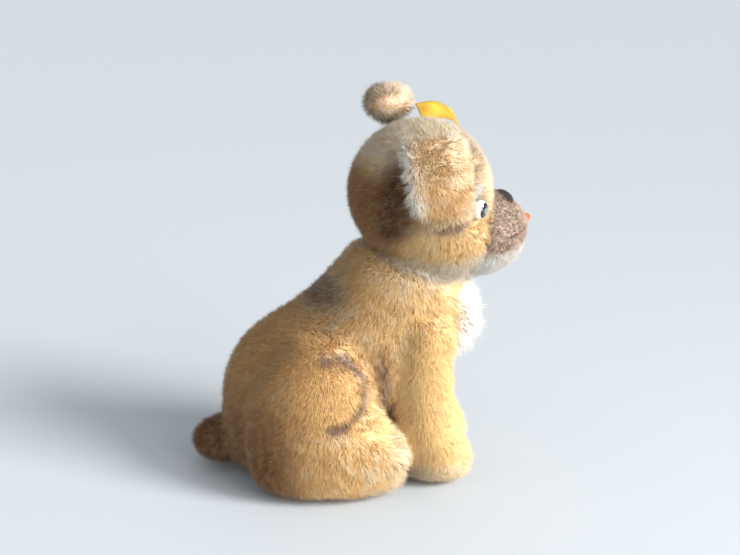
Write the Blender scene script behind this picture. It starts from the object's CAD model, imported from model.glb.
"""Seated mohair puppy: cloth skins with a real pile, glass eyes, stitched nose and ribbon tag."""
import math
import bpy
import openvdb
import numpy as np
from mathutils import Matrix, Vector
from mathutils.bvhtree import BVHTree


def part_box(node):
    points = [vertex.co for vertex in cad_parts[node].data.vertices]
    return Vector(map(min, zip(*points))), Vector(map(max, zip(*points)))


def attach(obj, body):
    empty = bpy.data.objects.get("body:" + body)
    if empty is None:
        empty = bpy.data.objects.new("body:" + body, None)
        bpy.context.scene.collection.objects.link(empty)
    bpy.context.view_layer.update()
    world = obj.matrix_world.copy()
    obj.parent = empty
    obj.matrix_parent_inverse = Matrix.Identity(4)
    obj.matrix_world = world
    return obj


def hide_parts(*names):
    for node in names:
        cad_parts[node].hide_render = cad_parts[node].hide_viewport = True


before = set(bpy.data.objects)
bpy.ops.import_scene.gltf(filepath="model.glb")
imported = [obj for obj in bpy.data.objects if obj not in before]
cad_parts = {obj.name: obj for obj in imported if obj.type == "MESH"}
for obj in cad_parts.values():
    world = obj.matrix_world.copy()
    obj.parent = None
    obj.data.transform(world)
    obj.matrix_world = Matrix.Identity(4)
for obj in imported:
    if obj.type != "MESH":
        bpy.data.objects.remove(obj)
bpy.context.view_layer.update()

MM = 0.001

# ---------------------------------------------------------------- camera, floor and light

CAMERA_PLACE = (31 * MM, -454 * MM, 230 * MM)
CAMERA_DOWN = 17.5         # degrees under the horizon
CAMERA_LENS = 54.44        # millimetres, like the sensor's width
CAMERA_SENSOR = 36.0
CAMERA_NEAR = 0.01

FLOOR_HALF = 9.0
FLOOR_TONE = (192, 200, 208)
FLOOR_ROUGHNESS = 0.6
WORLD_TONE = (216, 218, 220)
WORLD_STRENGTH = 0.8
SUN_WAY = (-0.8, 0.32, -0.5)
SUN_STRENGTH = 4.7
SUN_SOFTNESS = math.radians(22)
SUN_TINT = (1.0, 0.965, 0.91)
LIGHT_TARGET = (0.03, 0.0, 0.08)
AREA_LIGHTS = [            # name, place, size in metres, power in watts, tint
    ("window", (0.5, -0.55, 0.42), 0.35, 2.2, (1.0, 0.98, 0.95)),
    ("bounce", (0.5, -0.42, 0.12), 0.22, 1.2, (1.0, 0.94, 0.86)),
]


def make_camera():
    """Camera level in roll, looking along +Y and down."""
    camera = bpy.data.cameras.new("camera")
    camera.lens = CAMERA_LENS
    camera.sensor_width = CAMERA_SENSOR
    camera.clip_start = CAMERA_NEAR
    holder = bpy.data.objects.new("camera", camera)
    holder.location = CAMERA_PLACE
    holder.rotation_euler = (math.radians(90 - CAMERA_DOWN), 0, 0)
    bpy.context.scene.collection.objects.link(holder)
    bpy.context.scene.camera = holder


def area_light(name, place, size, power, colour):
    """Square soft light pointing at the toy."""
    light = bpy.data.lights.new(name, "AREA")
    light.size = size
    light.energy = power
    light.color = colour
    holder = bpy.data.objects.new(name, light)
    holder.location = place
    aim = Vector(LIGHT_TARGET) - Vector(place)
    holder.rotation_euler = aim.to_track_quat("-Z", "Y").to_euler()
    holder.visible_camera = False
    bpy.context.scene.collection.objects.link(holder)


def node_material(name, roughness):
    """Principled material without any links; returns it and its shader."""
    material = bpy.data.materials.new(name)
    material.use_nodes = True
    shader = material.node_tree.nodes["Principled BSDF"]
    shader.inputs["Roughness"].default_value = roughness
    return material, shader


def linear(colour):
    """Linear colour from a display colour with channels from 0 to 255."""
    channels = []
    for value in colour:
        share = value / 255
        channels.append(share / 12.92 if share <= 0.04045 else ((share + 0.055) / 1.055) ** 2.4)
    return (*channels, 1.0)


def make_studio():
    """Pale floor and surroundings, soft daylight, a window light and a low warm bounce."""
    mesh = bpy.data.meshes.new("floor")
    half = FLOOR_HALF
    corners = [(-half, -half, 0), (half, -half, 0), (half, half, 0), (-half, half, 0)]
    mesh.from_pydata(corners, [], [(0, 1, 2, 3)])
    floor = bpy.data.objects.new("floor", mesh)
    bpy.context.scene.collection.objects.link(floor)
    material, shader = node_material("floor_paper", FLOOR_ROUGHNESS)
    shader.inputs["Base Color"].default_value = linear(FLOOR_TONE)
    mesh.materials.append(material)
    world = bpy.data.worlds.new("studio")
    world.use_nodes = True
    background = world.node_tree.nodes["Background"]
    background.inputs["Color"].default_value = linear(WORLD_TONE)
    background.inputs["Strength"].default_value = WORLD_STRENGTH
    bpy.context.scene.world = world
    sun = bpy.data.lights.new("daylight", "SUN")
    sun.energy = SUN_STRENGTH
    sun.angle = SUN_SOFTNESS
    sun.color = SUN_TINT
    holder = bpy.data.objects.new("daylight", sun)
    holder.rotation_euler = Vector(SUN_WAY).to_track_quat("-Z", "Y").to_euler()
    bpy.context.scene.collection.objects.link(holder)
    for light in AREA_LIGHTS:
        area_light(*light)
    bpy.context.scene.view_settings.view_transform = "Standard"


# ---------------------------------------------------------------- numbers and noise

NOISE_CELLS = 24           # the noise repeats after so many cells
NOISE_SHIFT = 1000.0       # keeps every place positive


def smooth(low, high, value):
    """Smooth step from 0 at low to 1 at high."""
    share = np.clip((value - low) / (high - low), 0, 1)
    return share * share * (3 - 2 * share)


def unit(vectors):
    """Rows scaled to length 1."""
    return vectors / np.maximum(np.linalg.norm(vectors, axis=1, keepdims=True), 1e-12)


def lattice_noise(points, cell, seed):
    """Smooth noise from -1 to 1 at each point, with blobs about one cell wide."""
    table = np.random.default_rng(seed).uniform(-1, 1, (NOISE_CELLS,) * 3)
    place = points / cell + NOISE_SHIFT
    base = np.floor(place).astype(int)
    part = place - base
    part = part * part * (3 - 2 * part)
    total = 0.0
    for corner in range(8):
        step = np.array([corner & 1, corner >> 1 & 1, corner >> 2 & 1])
        index = (base + step) % NOISE_CELLS
        weight = np.prod(np.where(step, part, 1 - part), axis=1)
        total = total + weight * table[index[:, 0], index[:, 1], index[:, 2]]
    return total


def noise_vectors(points, cell, seed):
    """Three independent noises as rows of vectors."""
    return np.stack([lattice_noise(points, cell, seed + k) for k in range(3)], axis=1)


# ---------------------------------------------------------------- forms grown from the frame

VOXEL = 1.2 * MM
FIRST_REACH = 3.0          # voxels of exact distance each side of the CAD faces
SKIN_REACH = 12.0          # the same for the closed outer surface
CLOSE_GAPS = 0.5 * MM      # offset that bridges the seams between panels
SKIN_BLUR = 1.9            # voxels
STUFFED_FILL = 0.85
EAR_FILL = 0.6
EAR_VOXEL = 0.8 * MM
EAR_BLUR = 1.0             # voxels
EAR_SHRINK = {"right": 1.3 * MM, "left": 0.7 * MM}
EAR_REAR_LIFT = 2.6 * MM   # of the hanging ear's rear edge off the head
STUFFING_SINK = 3.0 * MM   # of the stuffing's surface under its CAD face
STUFFING_BLUR = 1.0        # voxels
STRAND_CELL = 2.5 * MM     # width of the lumps of wood wool
STRAND_SWELL = 0.5 * MM
BACKING_THICKNESS = 0.6 * MM


def node_mesh(names):
    """Points and triangles of some CAD nodes, joined."""
    points, faces, count = [], [], 0
    for name in names:
        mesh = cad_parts[name].data
        mesh.calc_loop_triangles()
        place = np.zeros(len(mesh.vertices) * 3, np.float32)
        mesh.vertices.foreach_get("co", place)
        corners = np.zeros(len(mesh.loop_triangles) * 3, np.int32)
        mesh.loop_triangles.foreach_get("vertices", corners)
        points.append(place.reshape(-1, 3))
        faces.append(corners.reshape(-1, 3) + count)
        count += len(mesh.vertices)
    return np.concatenate(points).astype(float), np.concatenate(faces).astype(np.uint32)


def outer_shell(points, quads):
    """Only the faces joined to the highest point, so that inner walls are dropped."""
    label = np.arange(len(points))
    edges = np.concatenate([quads[:, [0, 1]], quads[:, [1, 2]], quads[:, [2, 3]]])
    while True:
        low = np.minimum(label[edges[:, 0]], label[edges[:, 1]])
        new = label.copy()
        np.minimum.at(new, edges[:, 0], low)
        np.minimum.at(new, edges[:, 1], low)
        new = new[new]
        if (new == label).all():
            break
        label = new
    keep = label == label[np.argmax(points[:, 2])]
    remap = np.cumsum(keep) - 1
    return points[keep], remap[quads[keep[quads[:, 0]]]].astype(np.uint32)


def blur(field, radius):
    """Gaussian blur of a dense field, radius in voxels."""
    span = int(math.ceil(3 * radius))
    kernel = np.exp(-0.5 * (np.arange(-span, span + 1) / radius) ** 2)
    kernel /= kernel.sum()
    for axis in range(3):
        padded = np.pad(field, [(span, span) if k == axis else (0, 0) for k in range(3)], "edge")
        total = np.zeros_like(field)
        for offset, weight in enumerate(kernel):
            window = [slice(None)] * 3
            window[axis] = slice(offset, offset + field.shape[axis])
            total += weight * padded[tuple(window)]
        field = total
    return field


class Form:
    """Distance field of a soft form: negative inside, in metres."""

    def __init__(self, names, voxel, softness):
        transform = openvdb.createLinearTransform(voxelSize=voxel)
        self.voxel = voxel
        make = openvdb.FloatGrid.createLevelSetFromPolygons
        points, faces = node_mesh(names)
        grid = make(points, triangles=faces, transform=transform, halfWidth=FIRST_REACH)
        points, quads = outer_shell(*grid.convertToQuads(isovalue=CLOSE_GAPS))
        grid = make(points.astype(float), quads=quads, transform=transform, halfWidth=SKIN_REACH)
        low, high = grid.evalActiveVoxelBoundingBox()
        self.low = low
        field = np.empty([high[k] - low[k] + 1 for k in range(3)], np.float32)
        grid.copyToArray(field, ijk=low)
        self.field = blur(field, softness) + CLOSE_GAPS
        self.transform = transform

    def places(self):
        """Position of every voxel, as one row each."""
        axes = [(np.arange(n) + self.low[k]) * self.voxel for k, n in enumerate(self.field.shape)]
        return np.stack(np.meshgrid(*axes, indexing="ij"), axis=-1).reshape(-1, 3)


def new_piece(name, points, faces, material):
    """Smooth mesh object from arrays, linked to the scene."""
    mesh = bpy.data.meshes.new(name)
    mesh.from_pydata([tuple(p) for p in points], [], [tuple(int(k) for k in f) for f in faces])
    mesh.materials.append(material)
    mesh.shade_smooth()
    piece = bpy.data.objects.new(name, mesh)
    bpy.context.scene.collection.objects.link(piece)
    return piece


def nearest_panel(points, quads, names):
    """For each quad, which of the named CAD nodes lies nearest."""
    centres = points[quads].mean(axis=1)
    best = np.full(len(centres), np.inf)
    owner = np.zeros(len(centres), int)
    for index, name in enumerate(names):
        place, faces = node_mesh([name])
        tree = BVHTree.FromPolygons(place.tolist(), faces.tolist())
        for k, centre in enumerate(centres):
            gap = tree.find_nearest(centre, best[k])[3]
            if gap is not None and gap < best[k]:
                best[k] = gap
                owner[k] = index
    return owner


# ---------------------------------------------------------------- materials

FUR_TONES = [              # every tone a hair can have, channels from 0 to 255
    (246, 243, 236), (232, 226, 214), (222, 206, 186), (205, 188, 162), (250, 226, 188),
    (248, 208, 146), (236, 186, 122), (216, 166, 106), (192, 146, 94), (168, 126, 80),
    (144, 106, 70), (120, 88, 62), (104, 74, 62), (84, 60, 44), (62, 44, 32),
    (196, 172, 156), (168, 144, 130), (136, 114, 102), (205, 140, 76), (226, 214, 200),
    (242, 198, 134), (226, 178, 118), (204, 158, 104), (182, 138, 92), (236, 208, 168),
    (214, 190, 152), (188, 160, 126), (158, 130, 102), (214, 196, 178), (178, 156, 142),
    (254, 248, 238), (255, 216, 150), (176, 120, 68), (150, 98, 52), (124, 78, 40),
    (100, 62, 32),
]
PALETTE = np.array(FUR_TONES, float)
FUR_ROUGHNESS = 0.5
FUR_SHEEN = 0.12
FUR_SHEEN_ROUGHNESS = 0.4
FUR_SPECULAR = 0.35
BUMP_DISTANCE = 0.4 * MM
RAMP_LOW, RAMP_HIGH = 0.32, 0.68
WAVES_PER_WEAVE = 0.314    # scale of a wave texture for one thread per weave step
PUPIL_REACH = 3.3 * MM
PUPIL_BLACK = (6, 8, 8)
PUPIL_RAMP = [             # share of the reach and tone, from the middle out
    (0.55, (118, 132, 124)), (0.7, PUPIL_BLACK), (0.97, PUPIL_BLACK)]
EYE_WHITE = (228, 228, 222)
EYE_ROUGHNESS = 0.05


def fur_material(index):
    """Plain-toned glossy hair; the mix of tones on a pile makes its colour."""
    name = "mohair_tone_%02d" % index
    if name in bpy.data.materials:
        return bpy.data.materials[name]
    material, shader = node_material(name, FUR_ROUGHNESS)
    shader.inputs["Base Color"].default_value = linear(FUR_TONES[index])
    shader.inputs["Sheen Weight"].default_value = FUR_SHEEN
    shader.inputs["Sheen Roughness"].default_value = FUR_SHEEN_ROUGHNESS
    shader.inputs["Specular IOR Level"].default_value = FUR_SPECULAR
    return material


def middle_of(node):
    """Middle of a CAD node's box."""
    low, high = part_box(node)
    return (np.array(low) + np.array(high)) / 2


def link(tree, source, output, target, entry):
    """Join one node's output to another's input."""
    tree.links.new(source.outputs[output], target.inputs[entry])


def mottled(name, dark, pale, cell, grain, roughness=0.8, depth=0.3, stretch=(1, 1, 1), weave=0.0):
    """Procedural material: two tones mixed by noise, a finer grain or weave in the bump."""
    material, shader = node_material(name, roughness)
    tree = material.node_tree
    place = tree.nodes.new("ShaderNodeTexCoord")
    scale = tree.nodes.new("ShaderNodeMapping")
    scale.inputs["Scale"].default_value = stretch
    link(tree, place, "Object", scale, "Vector")
    noise = tree.nodes.new("ShaderNodeTexNoise")
    noise.inputs["Scale"].default_value = 1 / cell
    noise.inputs["Detail"].default_value = 5
    link(tree, scale, "Vector", noise, "Vector")
    ramp = tree.nodes.new("ShaderNodeValToRGB")
    low, high = ramp.color_ramp.elements
    low.position, low.color = RAMP_LOW, linear(dark)
    high.position, high.color = RAMP_HIGH, linear(pale)
    link(tree, noise, "Fac", ramp, "Fac")
    link(tree, ramp, "Color", shader, "Base Color")
    fine = tree.nodes.new("ShaderNodeTexNoise")
    fine.inputs["Scale"].default_value = 1 / grain
    fine.inputs["Detail"].default_value = 3
    link(tree, scale, "Vector", fine, "Vector")
    height = fine.outputs["Fac"]
    for axis in ("X", "Y", "Z") if weave else ():
        wave = tree.nodes.new("ShaderNodeTexWave")
        wave.bands_direction = axis
        wave.inputs["Scale"].default_value = WAVES_PER_WEAVE / weave
        wave.inputs["Distortion"].default_value = 0.6
        link(tree, scale, "Vector", wave, "Vector")
        add = tree.nodes.new("ShaderNodeMath")
        add.operation = "ADD"
        tree.links.new(height, add.inputs[0])
        tree.links.new(wave.outputs["Fac"], add.inputs[1])
        height = add.outputs[0]
    bump = tree.nodes.new("ShaderNodeBump")
    bump.inputs["Strength"].default_value = depth
    bump.inputs["Distance"].default_value = BUMP_DISTANCE
    tree.links.new(height, bump.inputs["Height"])
    link(tree, bump, "Normal", shader, "Normal")
    return material


def eye_glass(side, part, outside):
    """Eye glass: a black ring round a grey-green middle, and outside it the given tone."""
    material, shader = node_material(side + part + "_glass", EYE_ROUGHNESS)
    tree = material.node_tree
    shader.inputs["Coat Weight"].default_value = 1.0
    place = tree.nodes.new("ShaderNodeTexCoord")
    gap = tree.nodes.new("ShaderNodeVectorMath")
    gap.operation = "DISTANCE"
    gap.inputs[1].default_value = middle_of(side + "_eye_pupil").tolist()
    link(tree, place, "Object", gap, 0)
    share = tree.nodes.new("ShaderNodeMath")
    share.operation = "DIVIDE"
    share.inputs[1].default_value = PUPIL_REACH
    link(tree, gap, "Value", share, 0)
    ramp = tree.nodes.new("ShaderNodeValToRGB")
    ramp.color_ramp.elements[1].position = 1.0
    ramp.color_ramp.elements[1].color = linear(outside)
    for index, (place_on_ramp, tone) in enumerate(PUPIL_RAMP):
        stops = ramp.color_ramp.elements
        stop = stops.new(place_on_ramp) if index else stops[0]
        stop.position = place_on_ramp
        stop.color = linear(tone)
    link(tree, share, "Value", ramp, "Fac")
    link(tree, ramp, "Color", shader, "Base Color")
    return material


# ---------------------------------------------------------------- the neck and the turned head

NECK_CENTRE = np.array((49.5, 0, 95)) * MM
NECK_TILT = math.radians(22)
NECK_AXIS = np.array((math.sin(NECK_TILT), 0, math.cos(NECK_TILT)))
NECK_SLIT = 0.2 * MM
HEAD_TURN = np.array(Matrix.Rotation(math.radians(20), 3, Vector(NECK_AXIS)))
HEAD_LAY = (-0.75, 0, -0.35)          # way the head's pile is brushed


def above_neck(points):
    """Height of each point over the neck plane, along the neck's axis."""
    return (points - NECK_CENTRE) @ NECK_AXIS


def head_place(points):
    """Coordinates in millimetres as if the head looked straight forward."""
    return ((points - NECK_CENTRE) @ HEAD_TURN + NECK_CENTRE) / MM


def turned(points):
    """Places in the scene of points on a forward-looking head, all in metres."""
    return (points - NECK_CENTRE) @ HEAD_TURN.T + NECK_CENTRE


def head_vector(vector):
    """Direction in the scene of a direction on a forward-looking head."""
    return HEAD_TURN @ np.array(vector, float)


def behind_eyes(points):
    """Share by which each point is just behind an eye, and the direction towards that eye."""
    back = head_vector(HEAD_LAY)
    share = np.zeros(len(points))
    way = np.zeros((len(points), 3))
    for side in ("left", "right"):
        to_eye = middle_of(side + "_eye_dome") - points
        gap = np.linalg.norm(to_eye, axis=1) / MM
        near = smooth(-0.2, 0.4, -unit(to_eye) @ back) * smooth(9.0, 5.5, gap)
        way = np.where((near > share)[:, None], unit(to_eye), way)
        share = np.maximum(share, near)
    return share, way


# ---------------------------------------------------------------- colours of the pile

def mix(colour, target, weight):
    """Rows of colour moved towards a target colour."""
    weight = np.clip(np.asarray(weight, float), 0, 1)[:, None]
    return colour * (1 - weight) + np.array(target, float) * weight


def spot(across, up, centre, radii, edge=0.35):
    """1 inside an ellipse, falling to 0 outside it."""
    reach = np.hypot((across - centre[0]) / radii[0], (up - centre[1]) / radii[1])
    return 1 - smooth(1 - edge, 1 + edge, reach)


def plain(colour, count):
    """Rows of one colour."""
    return np.tile(np.array(colour, float), (count, 1))


HAUNCH = (15, 47.5)           # middle of the round mark on the haunch, in millimetres
HAUNCH_RING = 13.2


def body_colours(points, panel):
    """Colour of the tips and share of frosting over the body."""
    x, y, z = (points / MM).T
    rough = lattice_noise(points, 5 * MM, 11)
    tip = plain((240, 190, 126), len(x))
    tip = mix(tip, (214, 162, 110), smooth(24, -14, x))
    tip = mix(tip, (200, 154, 110), smooth(66, 80, z) * smooth(34, 14, x))
    tip = mix(tip, (138, 102, 78), spot(x, z, (8, 84), (13, 6)) * 0.8)
    tip = mix(tip, (244, 206, 154), smooth(82, 92, z) * smooth(24, 44, x))
    tip = mix(tip, (146, 94, 50), smooth(52, 16, z) * smooth(10, -12, x))
    frost = (0.45 + 0.25 * rough) * (1 - 0.7 * smooth(20, -8, x))
    hind = "hind" in panel
    if hind or "side" in panel:
        outside = smooth(12, 20, np.abs(y))
        tip = mix(tip, (246, 196, 126), spot(x, z, (14.5, 47.5), (12, 11)) * outside)
        reach = np.hypot(x - HAUNCH[0], z - HAUNCH[1]) - HAUNCH_RING
        turn = np.degrees(np.arctan2(z - HAUNCH[1], x - HAUNCH[0]))
        arc = np.exp(-((reach - 1.1 * rough) / (2.1 + 0.7 * smooth(20, 80, turn))) ** 2)
        arc = arc * smooth(-88, -60, turn) * smooth(122, 95, turn)
        tip = mix(tip, (120, 88, 76), arc * outside * (0.8 + 0.2 * rough))
        tip = mix(tip, (116, 84, 66), spot(x, z, (17.5, 34.5), (5, 2.2)) * outside * 0.8)
        frost = frost * (1 - 0.8 * spot(x, z, HAUNCH, (14, 13)))
    if hind:
        tip = mix(tip, (222, 178, 124), smooth(22, 32, x) * smooth(30, 20, z))
        tip = mix(tip, (218, 190, 150), smooth(37, 43, x) * smooth(34, 26, z))
        tip = mix(tip, (228, 212, 196), smooth(31, 35, x) * smooth(36, 44, z) * 0.7)
    if "front_leg" in panel:
        tip = plain((255, 208, 138), len(x))
        tip = mix(tip, (152, 116, 82), smooth(45.5, 40, x + 1.5 * rough) * smooth(16, 26, z))
        tip = mix(tip, (228, 190, 144), smooth(16, 8, z))
        frost = 0.12 + 0.5 * smooth(46, 40, x) + 0.5 * smooth(16, 8, z)
    if "tail" in panel:
        tip = mix(tip, (124, 80, 44), np.full(len(x), 0.8))
    if "belly" in panel:
        tip = mix(tip, (226, 190, 140), np.full(len(x), 0.6))
    if "side" in panel or "front_leg" in panel:
        crease = np.exp(-((x - 36) / 3.6) ** 2) * smooth(26, 32, z) * smooth(68, 54, z)
        tip = mix(tip, (104, 66, 36), crease * 0.9)
    if "bib" in panel:
        tip = plain((246, 243, 236), len(x))
        frost = np.zeros(len(x))
    else:
        chest = smooth(65, 69, x + 1.5 * rough) * smooth(46, 52, z) * smooth(92, 86, z)
        tip = mix(tip, (248, 245, 238), chest)
        frost = frost * (1 - chest)
    return tip, frost


def head_colours(points, panel):
    """Colour of the tips and share of frosting over the head."""
    x, y, z = head_place(points).T
    side = np.abs(y)
    rough = lattice_noise(points, 5 * MM, 12)
    tip = plain((232, 190, 138), len(x))
    tip = mix(tip, (255, 232, 202), smooth(132, 144, z))
    tip = mix(tip, (160, 108, 60), smooth(46, 30, x) * smooth(145, 130, z))
    behind = np.exp(-((x - 34 - 0.12 * (z - 126)) / 7) ** 2) * smooth(104, 114, z)
    tip = mix(tip, (100, 60, 30), behind * smooth(150, 138, z) * smooth(-10, -18, y) * 0.9)
    tip = mix(tip, (255, 204, 134), spot(x, z, (58, 111), (21, 8)))
    tip = mix(tip, (128, 94, 66), spot(x, z, (57, 119), (9, 1.8)) * smooth(14, 20, side) * 0.85)
    tip = mix(tip, (236, 214, 186), smooth(106, 100, z))
    tip = mix(tip, (240, 206, 166), smooth(64, 72, x) * smooth(118, 126, z))
    tip = mix(tip, (246, 240, 230), spot(side, z, (21, 129), (4.5, 6)) * smooth(60, 66, x))
    tip = mix(tip, (168, 128, 104), spot(side, z, (7, 146), (6, 9)) * smooth(60, 66, x) * 0.6)
    frost = (0.5 + 0.2 * rough) * (1 - 0.75 * smooth(46, 32, x) * smooth(148, 136, z))
    if "muzzle" in panel:
        tip = plain((168, 139, 120), len(x))
        tip = mix(tip, (255, 249, 240), smooth(105, 98, z))
        tip = mix(tip, (118, 92, 84), spot(x, z, (82, 111), (6, 1.6)) * 0.8)
        tip = mix(tip, (118, 92, 84), spot(x, z, (83, 103.5), (6, 2)) * 0.8)
        frost = 0.25 + 0.2 * rough
    return tip, frost


def ear_colours(points, panel):
    """Colour of the ears: pale striated edge, caramel middle, pale knot."""
    x, _, z = head_place(points).T
    rough = lattice_noise(points, 3 * MM, 13)
    if panel.startswith("left"):
        tip = plain((202, 178, 144), len(x))
        tip = mix(tip, (188, 154, 116), smooth(0.1, 0.8, rough))
        return tip, 0.5 + 0.3 * rough
    tip = plain((214, 176, 130), len(x))
    tip = mix(tip, (196, 142, 88), spot(x, z, (50, 135), (9, 9)) * 0.9)
    tip = mix(tip, (236, 214, 180), smooth(146, 152, z) * 0.8)
    tip = mix(tip, (252, 236, 210), smooth(42, 37, x + 1.5 * rough))
    tip = mix(tip, (236, 212, 176), spot(x, z, (54, 141), (6, 2.6)) * 0.8)
    tip = mix(tip, (118, 84, 76), spot(x, z, (58, 126), (2.5, 3)) * 0.9)
    tip = mix(tip, (236, 222, 200), smooth(120, 117, z) * 0.8)
    tip = mix(tip, (214, 172, 122), smooth(122, 114, z) * 0.8)
    if "lining" in panel:
        tip = mix(tip, (200, 150, 96), np.full(len(x), 0.7))
    return tip, 0.5 + 0.25 * rough


# ---------------------------------------------------------------- skins and pile

def quads_of(array, form, level=0.0):
    """Outward-facing quads of a dense field's surface."""
    grid = openvdb.FloatGrid(float(array.max()))
    grid.copyFromArray(np.ascontiguousarray(array, np.float32), ijk=form.low)
    grid.transform = form.transform
    points, quads = grid.convertToQuads(isovalue=level)
    points, quads = outer_shell(points, quads)
    corner = points[quads]
    cross = np.cross(corner[:, 2] - corner[:, 0], corner[:, 3] - corner[:, 1])
    if (cross * corner.mean(axis=1)).sum() < 0:
        quads = quads[:, ::-1]
    return points, quads


def field_normals(form, points):
    """Outward direction of the form's field at each point."""
    if not hasattr(form, "slope"):
        form.slope = np.gradient(form.field)
    place = points / form.voxel - np.array(form.low)
    index = np.clip(np.rint(place).astype(int), 0, np.array(form.field.shape) - 1)
    rows = [part[index[:, 0], index[:, 1], index[:, 2]] for part in form.slope]
    return unit(np.stack(rows, axis=1))


def scatter(points, quads, per_square_mm, rng):
    """Random places spread evenly over quads."""
    corner = points[quads]
    triangles = np.concatenate([corner[:, [0, 1, 2]], corner[:, [0, 2, 3]]])
    edge_a = triangles[:, 1] - triangles[:, 0]
    edge_b = triangles[:, 2] - triangles[:, 0]
    area = 0.5 * np.linalg.norm(np.cross(edge_a, edge_b), axis=1)
    count = int(area.sum() / MM ** 2 * per_square_mm)
    pick = rng.choice(len(area), count, p=area / area.sum())
    u, v = rng.random(count), rng.random(count)
    over = u + v > 1
    u[over], v[over] = 1 - u[over], 1 - v[over]
    return triangles[pick, 0] + u[:, None] * edge_a[pick] + v[:, None] * edge_b[pick]


MOST_TRIANGLES = 180000      # in one piece of pile
BENT_TRIANGLES = 9
PLAIN_TRIANGLES = 3
BENT_FROM = 0.14             # radius in millimetres from which hairs get a bend
ROOT_DEPTH = 0.4 * MM        # of each hair's root below the skin
WISP_RADIUS = 0.1
FROST_TONE = np.array((240.0, 228, 208))
ROOT_SHADE = np.array((0.93, 0.89, 0.83))
BENT_SIDES = np.array([(0, 1, 4, 3), (1, 2, 5, 4), (2, 0, 3, 5)])
BENT_TIPS = np.array([(3, 4, 6), (4, 5, 6), (5, 3, 6)])
PLAIN_TIPS = np.array([(0, 1, 3), (1, 2, 3), (2, 0, 3)])


def strand_points(roots, start, finish, length, radius, bent, rng):
    """Points of each tapering three-sided hair: seven where it bends, else four."""
    helper = unit(rng.normal(size=roots.shape))
    first = unit(np.cross(start, helper))
    second = np.cross(start, first)
    middle = roots + start * (0.5 * length)[:, None]
    tip = middle + finish * (0.5 * length)[:, None]
    rows = []
    for centre, size in ((roots, radius), (middle, radius * 0.8))[:2 if bent else 1]:
        for angle in (0, 2 * math.pi / 3, 4 * math.pi / 3):
            swing = first * math.cos(angle) + second * math.sin(angle)
            rows.append(centre + swing * size[:, None])
    rows.append(tip)
    return np.stack(rows, axis=1)


def hair_piece(name, strands, facing, root_tone, tip_tone):
    """One mesh of many hairs, each face in one plain tone, shaded softly like the skin under it."""
    count, corners = strands.shape[:2]
    offset = (np.arange(count) * corners)[:, None, None]
    if corners == 7:
        sides = (BENT_SIDES[None] + offset).reshape(-1)
        tips = (BENT_TIPS[None] + offset).reshape(-1)
        tones = np.concatenate([np.repeat(root_tone, 3), np.repeat(tip_tone, 3)])
    else:
        sides = np.zeros(0, int)
        tips = (PLAIN_TIPS[None] + offset).reshape(-1)
        tones = np.repeat(tip_tone, 3)
    loops = np.concatenate([sides, tips]).astype(np.int32)
    starts = np.concatenate([
        np.arange(len(sides) // 4) * 4, len(sides) + np.arange(count * 3) * 3]).astype(np.int32)
    used = np.unique(tones)
    remap = np.zeros(len(PALETTE), np.int32)
    remap[used] = np.arange(len(used))
    mesh = bpy.data.meshes.new(name)
    mesh.vertices.add(count * corners)
    mesh.vertices.foreach_set("co", strands.astype(np.float32).ravel())
    mesh.loops.add(len(loops))
    mesh.loops.foreach_set("vertex_index", loops)
    mesh.polygons.add(len(starts))
    mesh.polygons.foreach_set("loop_start", starts)
    for index in used:
        mesh.materials.append(fur_material(int(index)))
    mesh.polygons.foreach_set("material_index", remap[tones].astype(np.int32))
    mesh.update(calc_edges=True)
    mesh.shade_smooth()
    mesh.normals_split_custom_set_from_vertices(np.repeat(facing, corners, axis=0).tolist())
    piece = bpy.data.objects.new(name, mesh)
    bpy.context.scene.collection.objects.link(piece)
    return piece


def nearest_tone(colours, rng, jitter=7):
    """Index of the plain tone nearest to each colour, with some scatter."""
    shift = rng.normal(0, jitter, (len(colours), 1)) + rng.normal(0, jitter / 3, colours.shape)
    gap = (colours + shift)[:, None, :] - PALETTE[None]
    return np.argmin((gap ** 2).sum(axis=2), axis=1)


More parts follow.
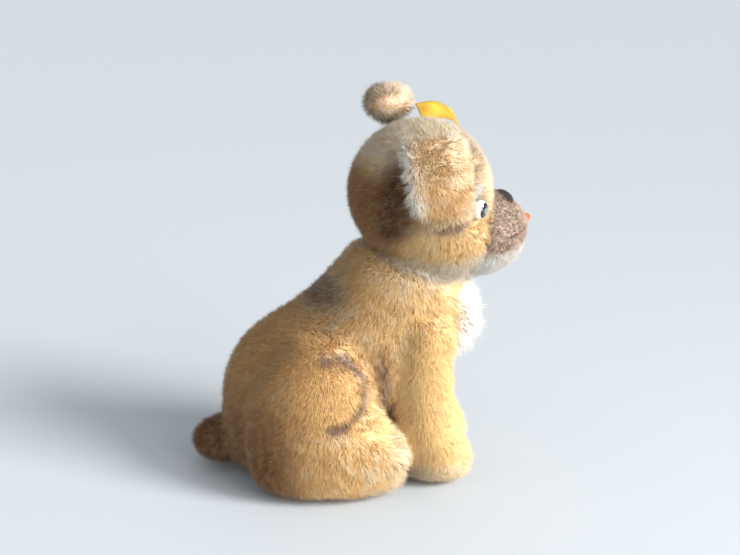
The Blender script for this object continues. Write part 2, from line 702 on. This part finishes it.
def grow_pile(name, form, points, quads, look):
    """Hairs over a patch of skin; look says how long, how dense and how coloured."""
    rng = np.random.default_rng(look["seed"])
    roots = scatter(points, quads, look["density"], rng)
    normals = field_normals(form, roots)
    keep = look["keep"](roots, normals)
    roots, normals = roots[keep], normals[keep]
    messy = look["messy"](roots)[:, None]
    length = look["length"](roots) * rng.uniform(0.8, 1.15, len(roots))
    lay = look["lay"](roots, normals)
    lay = lay - normals * (lay * normals).sum(axis=1)[:, None]
    tuft = noise_vectors(roots, look["tuft"] * MM, look["seed"] + 50)
    fine = noise_vectors(roots, 0.45 * look["tuft"] * MM, look["seed"] + 70)
    loose = rng.normal(size=roots.shape)
    start = unit(normals + 0.35 * lay + messy * (0.5 * tuft + 0.2 * fine) + 0.12 * loose)
    loose = rng.normal(size=roots.shape)
    finish = unit(start + 0.5 * lay + messy * (0.35 * tuft + 0.3 * fine) + 0.14 * loose)
    sink = (start * normals).sum(axis=1) < 0.15
    start[sink] = unit(normals[sink] + 0.5 * lay[sink])
    wisp = rng.random(len(roots)) < look["wisps"] * messy[:, 0]
    length = np.where(wisp, length * 1.3, length)
    radius = np.where(wisp, WISP_RADIUS, look["thick"]) * MM * rng.uniform(0.8, 1.2, len(roots))
    tip, frost = look["colours"](roots)
    frosted = np.clip(frost + 0.4 * tuft[:, 0] + rng.normal(0, 0.12, len(roots)), 0, 1)
    tip = tip * (1 - 0.5 * frosted[:, None]) + FROST_TONE * 0.5 * frosted[:, None]
    tip = np.where(wisp[:, None], 0.6 * tip + 0.4 * FROST_TONE, tip)
    root = tip * ROOT_SHADE
    facing = unit(normals + 0.35 * start)
    bent = look["thick"] > BENT_FROM
    strands = strand_points(roots - normals * ROOT_DEPTH, start, finish, length, radius, bent, rng)
    root_tone, tip_tone = nearest_tone(root, rng), nearest_tone(tip, rng)
    triangles = len(roots) * (BENT_TRIANGLES if bent else PLAIN_TRIANGLES)
    parts = math.ceil(triangles / MOST_TRIANGLES)
    pieces = []
    for part in range(parts):
        mine = slice(part, None, parts)
        label = name if parts == 1 else "%s_%d" % (name, part + 1)
        tones = root_tone[mine], tip_tone[mine]
        pieces.append(hair_piece(label, strands[mine], facing[mine], *tones))
    return pieces


def cloth_piece(name, points, quads, material, body, node):
    """A panel of woven backing, declared as the face of a stuffed part."""
    used = np.unique(quads)
    remap = np.zeros(len(points), int)
    remap[used] = np.arange(len(used))
    piece = new_piece(name, points[used], remap[quads], material)
    thick = piece.modifiers.new("backing", "SOLIDIFY")
    thick.thickness = BACKING_THICKNESS
    thick.offset = -1
    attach(piece, body)
    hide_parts(node)


def dress(form, points, quads, body, panels, looks, fill):
    """Split a skin into its sewn panels and grow each one's pile."""
    owner = nearest_panel(points, quads, [panel[0] for panel in panels])
    for index, (node, slot, material) in enumerate(panels):
        mine = quads[owner == index]
        cloth_piece(node + "_cloth", points, mine, material, body, node)
        for pile in grow_pile(node + "_pile", form, points, mine, looks(node, index)):
            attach(pile, body)


def stuffing_piece(node, body):
    """Stuffing pulled in under the skin, with the tangled surface of wood wool."""
    form = Form([node], VOXEL, STUFFING_BLUR)
    points, quads = quads_of(form.field, form, -STUFFING_SINK)
    normals = field_normals(form, points)
    swell = lattice_noise(points, STRAND_CELL, 31) * STRAND_SWELL
    piece = new_piece(node + "_core", points + normals * swell[:, None], quads, WOOD_WOOL)
    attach(piece, body)
    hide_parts(node)


SKIN_DEPTH = 3.2              # millimetres below the CAD face, where the pile is plain


def pile_depth(points):
    """How far below the CAD face the skin lies at each place."""
    x, _, z = (points / MM).T
    bib = smooth(60, 68, x) * smooth(46, 52, z) * smooth(90, 82, z)
    muzzle = smooth(72, 80, head_place(points)[:, 0])
    muzzle = muzzle * smooth(-2 * MM, 4 * MM, above_neck(points))
    depth = SKIN_DEPTH + 2.0 * bib - 1.9 * muzzle - 1.7 * behind_eyes(points)[0]
    for node, reach in (("nose_stitching", 8.0), ("tongue", 7.0)):
        gap = np.linalg.norm(points - middle_of(node), axis=1) / MM
        depth = np.where(gap < reach, np.minimum(depth, 0.3 + 0.13 * gap), depth)
    depth = np.where(z < 6, np.minimum(depth, 0.8 + 0.45 * np.maximum(z, 0)), depth)
    return depth * MM


def body_look(node, index):
    """How the pile of a body panel grows."""
    def keep(points, normals):
        on_cap = (np.abs(above_neck(points)) < 0.8 * MM) & (normals @ NECK_AXIS > 0.9)
        return ~on_cap & ~((points[:, 2] < 1.2 * MM) | (normals[:, 2] < -0.85))

    def length(points):
        x, _, z = (points / MM).T
        base = 4.0 - 0.6 * ("front_leg" in node) * smooth(20, 30, z)
        base = base + 3.6 * smooth(65, 70, x) * smooth(44, 52, z) * smooth(94, 88, z)
        if "hind" in node:
            base = base + 1.2 * smooth(36, 42, x) * smooth(34, 26, z)
        return base * MM * smooth(-2, 8, z)

    def lay(points, normals):
        down = np.tile(np.array((-0.25, 0.0, -0.9)), (len(points), 1))
        if "leg" in node:
            down = down + smooth(16, 4, points[:, 2] / MM)[:, None] * np.array((1.2, 0, 0.4))
        return down

    def messy(points):
        x, _, z = (points / MM).T
        calm = 0.6 * spot(x, z, HAUNCH, (14, 13))
        if "front_leg" in node:
            calm = 0.55 * smooth(42, 46, x) * smooth(12, 20, z)
        return 0.62 + 0.7 * smooth(66, 70, x) * smooth(46, 52, z) - 0.75 * calm

    return {
        "seed": 100 + index, "keep": keep,
        "density": 3.6 if "bib" in node else 8.2, "thick": 0.17 if "bib" in node else 0.13,
        "length": length, "lay": lay, "tuft": 2.2, "wisps": 0.14, "messy": messy,
        "colours": lambda points: body_colours(points, node)}


BARE_ROUND_EYE = 3.4 * MM
BARE_ROUND_NOSE = 4.2 * MM


def head_look(node, index):
    """How the pile of a head panel grows."""
    back = head_vector(HEAD_LAY)

    def keep(points, normals):
        near_eye = np.zeros(len(points), bool)
        for side in ("left", "right"):
            gap = np.linalg.norm(points - middle_of(side + "_eye_dome"), axis=1)
            near_eye |= gap < BARE_ROUND_EYE
        gap = np.linalg.norm(points - middle_of("nose_stitching"), axis=1)
        near_nose = gap < BARE_ROUND_NOSE
        on_cap = (above_neck(points) < 0.8 * MM) & (normals @ NECK_AXIS < -0.9)
        return ~(near_eye | near_nose | on_cap)

    def length(points):
        x, _, z = head_place(points).T
        base = 3.9 - 2.0 * smooth(70, 80, x) + 1.2 * smooth(102, 96, z)
        return base * MM

    def lay(points, normals):
        share, to_eye = behind_eyes(points)
        return back * (1 - share[:, None]) + to_eye * 1.2 * share[:, None]

    def messy(points):
        x, _, z = head_place(points).T
        return 0.5 + 0.4 * smooth(106, 100, z) - 0.2 * smooth(70, 78, x)

    return {
        "seed": 200 + index, "keep": keep, "density": 9.0, "thick": 0.12,
        "length": length, "lay": lay, "tuft": 1.8, "wisps": 0.14, "messy": messy,
        "colours": lambda points: head_colours(points, node)}


def ear_look(node, index):
    """How the pile of an ear panel grows."""
    down = head_vector((-0.1, 0, -1.0))
    ball = node.startswith("left")

    def lay(points, normals):
        if ball:
            return noise_vectors(points, 5 * MM, 77)
        return np.tile(down, (len(points), 1))

    def length(points):
        x, _, z = head_place(points).T
        if ball:
            return (3.2 + 1.6 * smooth(153, 149, z)) * MM
        return ((2.4 if "lining" in node else 3.2) + 1.6 * smooth(44, 38, x)) * MM

    return {
        "seed": 300 + index + 10 * ball, "density": 9.0, "thick": 0.12,
        "keep": lambda points, normals: np.ones(len(points), bool),
        "length": length, "lay": lay, "tuft": 1.8, "wisps": 0.2,
        "messy": lambda points: 0.45 + 0.5 * smooth(41, 36, head_place(points)[:, 0]),
        "colours": lambda points: ear_colours(points, node)}


# ---------------------------------------------------------------- small parts

def tube(path, radius, sides=6):
    """Points and faces of a closed tube along a path."""
    path = np.asarray(path, float)
    along = unit(np.gradient(path, axis=0))
    helper = np.array((0.31, 0.77, 0.55))
    rings = []
    for centre, ahead in zip(path, along):
        first = np.cross(ahead, helper)
        first /= np.linalg.norm(first)
        second = np.cross(ahead, first)
        for k in range(sides):
            angle = 2 * math.pi * k / sides
            rings.append(centre + radius * (first * math.cos(angle) + second * math.sin(angle)))
    faces = []
    for ring in range(len(path) - 1):
        for k in range(sides):
            a, b = ring * sides + k, ring * sides + (k + 1) % sides
            faces.append((a, b, b + sides, a + sides))
    faces.append(tuple(range(sides))[::-1])
    faces.append(tuple((len(path) - 1) * sides + k for k in range(sides)))
    return rings, faces


def many_tubes(name, paths, radius, material, sides=6):
    """One piece of several tubes."""
    points, faces = [], []
    for path in paths:
        more, sheets = tube(path, radius, sides)
        faces += [tuple(k + len(points) for k in face) for face in sheets]
        points += more
    return new_piece(name, points, faces, material)


def pad_axes(node):
    """Middle of a flat CAD pad, its thin, middling and long axes, and its reach along each."""
    points = node_mesh([node])[0]
    middle = points.mean(axis=0)
    spread = points - middle
    axes = np.linalg.eigh(spread.T @ spread)[1].T
    return middle, axes, [np.abs(spread @ axis).max() for axis in axes]


MUZZLE_MIDDLE = 76.0         # millimetres forward, on a forward-looking head
MOUTH_STEPS = 260
MOUTH_TWISTS = 22
MOUTH_LIFT = 0.35 * MM       # of the thread's middle over the skin
PLY_OFFSET = 0.26 * MM
PLY_RADIUS = 0.3 * MM


def make_mouth(skin):
    """Two-ply thread laid on the skin along the stitched mouth."""
    seen = head_place(node_mesh(["mouth_stitching"])[0])
    swing = np.arctan2(seen[:, 1], seen[:, 0] - MUZZLE_MIDDLE)
    level = seen[:, 2].mean()
    middle = []
    for angle in np.linspace(swing.min(), swing.max(), MOUTH_STEPS):
        way = np.array((math.cos(angle), math.sin(angle), 0.0))
        start = np.array((MUZZLE_MIDDLE, 0.0, level)) + way * 45
        hit = skin.ray_cast(Vector(turned(start * MM)), Vector(head_vector(-way)))
        middle.append(np.array(hit[0]) + np.array(hit[1]) * MOUTH_LIFT)
    middle = np.array(middle)
    for _ in range(6):
        middle[1:-1] = (middle[:-2] + 2 * middle[1:-1] + middle[2:]) / 4
    ahead = unit(np.gradient(middle, axis=0))
    up = np.tile(head_vector((0, 0, 1)), (MOUTH_STEPS, 1))
    out = unit(np.cross(up, ahead))
    twist = np.linspace(0, 2 * math.pi * MOUTH_TWISTS, MOUTH_STEPS)[:, None]
    ply = (up * np.cos(twist) + out * np.sin(twist)) * PLY_OFFSET
    piece = many_tubes("mouth_thread", [middle + ply, middle - ply], PLY_RADIUS, THREAD_BROWN)
    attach(piece, "head")
    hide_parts("mouth_stitching")


NOSE_THREADS = 21
NOSE_THREAD_RADIUS = 0.34 * MM


def make_nose(skin):
    """Satin stitch: threads laid side by side over the nose pad."""
    centre, (thin, run, wide), reach = pad_axes("nose_stitching")
    outward = head_vector((1, 0, 0.25))
    if thin @ outward < 0:
        thin = -thin
    hit = skin.ray_cast(Vector(centre + thin * 8 * MM), Vector(-thin))
    centre = np.array(hit[0]) + thin * 0.1 * MM
    rng = np.random.default_rng(5)
    paths = []
    for k in range(NOSE_THREADS):
        across = -1 + 2 * (k + 0.5) / NOSE_THREADS
        end = math.sqrt(max(0.0, 1 - across ** 2))
        steps = np.linspace(-1, 1, 11)[:, None]
        rise = np.sqrt(np.clip(1 - across ** 2 - (steps * end) ** 2, 0, 1))
        jog = rng.uniform(-0.12, 0.12, 2) * MM
        path = (centre + wide * (across * reach[2] + jog[0]) + run * steps * end * reach[1]
                + thin * (rise * 1.5 * MM - 0.9 * MM * (across ** 2 + (steps * end) ** 2)
                           + jog[1]))
        paths.append(path)
    piece = many_tubes("nose_satin_threads", paths, NOSE_THREAD_RADIUS, THREAD_BLACK)
    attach(piece, "head")
    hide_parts("nose_stitching")


TAG_CENTRE = np.array((60.8, 24.0, 139.6)) * MM
TAG_TILT = math.radians(25)
TAG_RADIUS = 16.3 * MM
TAG_WIDTH = 10.4 * MM
TAG_THICKNESS = 0.25 * MM
TAG_ANGLES = (107, 25)       # degrees round the tag's arc, from its rear end to its front end


def make_ribbon():
    """Woven ribbon arched beside the standing ear, its edges a little wavy."""
    along, across = 40, 14
    points, faces = [], []
    width_way = np.array((0, math.cos(TAG_TILT), math.sin(TAG_TILT)))
    for i in range(along + 1):
        angle = math.radians(TAG_ANGLES[0] + (TAG_ANGLES[1] - TAG_ANGLES[0]) * i / along)
        outward = np.array((math.cos(angle), -math.sin(angle) * math.sin(TAG_TILT),
                            math.sin(angle) * math.cos(TAG_TILT)))
        for k in range(across + 1):
            share = 2 * k / across - 1
            wave = 0.25 * MM * math.sin(9 * angle + 2.0 * share) * share ** 2
            edge = 0.12 * MM * smooth(0.86, 1.0, abs(share))
            points.append(TAG_CENTRE + outward * (TAG_RADIUS + wave + edge)
                          + width_way * (share * TAG_WIDTH / 2))
    for i in range(along):
        for k in range(across):
            a = i * (across + 1) + k
            faces.append((a, a + 1, a + across + 2, a + across + 1))
    piece = new_piece("ribbon_band", turned(np.array(points)), faces, RIBBON)
    thick = piece.modifiers.new("weave", "SOLIDIFY")
    thick.thickness = TAG_THICKNESS
    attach(piece, "head")
    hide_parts("ribbon_tag")


def set_material(node, material):
    """Give a carried-over CAD node its finish."""
    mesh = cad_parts[node]
    for place in mesh.material_slots:
        place.material = material
    if not mesh.material_slots:
        mesh.data.materials.append(material)


make_camera()
make_studio()

BACKING = {"cell": 4 * MM, "grain": 0.5 * MM, "weave": 0.6 * MM}
GOLD_CLOTH = mottled("golden_backing", (186, 144, 98), (212, 170, 118), **BACKING)
WHITE_CLOTH = mottled("white_backing", (222, 216, 204), (240, 236, 226), **BACKING)
GREY_CLOTH = mottled("grey_beige_backing", (172, 150, 134), (198, 176, 160), **BACKING)
LINING_CLOTH = mottled("ear_backing", (184, 146, 104), (208, 170, 126), 3 * MM, 0.4 * MM,
                       weave=0.5 * MM)
WOOD_WOOL = mottled("wood_wool", (150, 120, 78), (206, 180, 132), 1.5 * MM, 0.3 * MM, depth=1.0,
                    stretch=(1, 0.25, 1))
CARD = mottled("joint_card", (120, 92, 62), (150, 118, 82), 1.2 * MM, 0.15 * MM, roughness=0.85)
STEEL = mottled("joint_steel", (120, 120, 124), (168, 168, 172), 2 * MM, 0.1 * MM, roughness=0.35,
                depth=0.1)
STEEL.node_tree.nodes["Principled BSDF"].inputs["Metallic"].default_value = 1.0
THREAD_BLACK = mottled("black_satin_thread", (10, 9, 9), (38, 34, 32), 0.8 * MM, 0.12 * MM,
                       roughness=0.3, depth=0.5, stretch=(1, 1, 4))
THREAD_BROWN = mottled("brown_thread", (104, 78, 66), (136, 106, 92), 0.8 * MM, 0.12 * MM,
                       roughness=0.5, depth=0.5)
FELT = mottled("orange_felt", (206, 96, 58), (240, 138, 92), 0.9 * MM, 0.15 * MM, roughness=0.95,
               depth=0.8)
RIBBON = mottled("yellow_ribbon", (182, 126, 26), (218, 184, 50), 7 * MM, 0.15 * MM, roughness=0.5,
                 depth=0.4, weave=0.35 * MM)

BODY_PANELS = [
    ("left_side_cover", "golden_mohair", GOLD_CLOTH),
    ("right_side_cover", "golden_mohair", GOLD_CLOTH),
    ("chest_bib", "white_mohair", WHITE_CLOTH),
    ("belly_gusset", "golden_mohair", GOLD_CLOTH),
    ("left_front_leg_cover", "golden_mohair", GOLD_CLOTH),
    ("right_front_leg_cover", "golden_mohair", GOLD_CLOTH),
    ("left_hind_leg_cover", "golden_mohair", GOLD_CLOTH),
    ("right_hind_leg_cover", "golden_mohair", GOLD_CLOTH),
    ("tail_cover", "golden_mohair", GOLD_CLOTH),
]
HEAD_PANELS = [
    ("left_head_cover", "golden_mohair", GOLD_CLOTH),
    ("right_head_cover", "golden_mohair", GOLD_CLOTH),
    ("head_gusset", "golden_mohair", GOLD_CLOTH),
    ("muzzle_cover", "grey_beige_mohair", GREY_CLOTH),
]
BODY_STUFFING = ["trunk_stuffing", "left_front_leg_stuffing", "right_front_leg_stuffing",
                 "left_hind_leg_stuffing", "right_hind_leg_stuffing", "tail_stuffing"]

covers = [panel[0] for panel in BODY_PANELS + HEAD_PANELS]
whole = Form(covers + BODY_STUFFING + ["head_stuffing"], VOXEL, SKIN_BLUR)
places = whole.places()
sunk = whole.field + pile_depth(places).reshape(whole.field.shape)
height = above_neck(places).reshape(whole.field.shape)
body_skin = quads_of(np.maximum(sunk, height + NECK_SLIT), whole)
head_skin = quads_of(np.maximum(sunk, NECK_SLIT - height), whole)
dress(whole, *body_skin, "body", BODY_PANELS, body_look, STUFFED_FILL)
dress(whole, *head_skin, "head", HEAD_PANELS, head_look, STUFFED_FILL)
for side, body in (("right", "right_ear"), ("left", "left_ear")):
    nodes = [side + "_ear_outer", side + "_ear_lining"]
    ear = Form(nodes, EAR_VOXEL, EAR_BLUR)
    ear_panels = [(nodes[0], "golden_mohair", GOLD_CLOTH),
                  (nodes[1], "ear_lining_plush", LINING_CLOTH)]
    points, quads = quads_of(ear.field, ear, -EAR_SHRINK[side])
    if side == "right":
        rear = smooth(42, 34, head_place(points)[:, 0])[:, None]
        points = points + rear * head_vector((0.15, -1, 0)) * EAR_REAR_LIFT
    dress(ear, points, quads, body, ear_panels, ear_look, EAR_FILL)
for node in BODY_STUFFING:
    stuffing_piece(node, "body")
stuffing_piece("head_stuffing", "head")
head_tree = BVHTree.FromPolygons(head_skin[0].tolist(), head_skin[1].tolist())
make_nose(head_tree)
make_mouth(head_tree)
make_ribbon()
for node in ("body_joint_disc", "head_joint_disc"):
    set_material(node, CARD)
for node in ("body_joint_washer", "head_joint_washer", "neck_cotter_pin", "left_eye_shank",
             "right_eye_shank"):
    set_material(node, STEEL)
for side in ("left", "right"):
    set_material(side + "_eye_dome", eye_glass(side, "_dome", EYE_WHITE))
    set_material(side + "_eye_pupil", eye_glass(side, "_pupil", PUPIL_BLACK))
set_material("tongue", FELT)
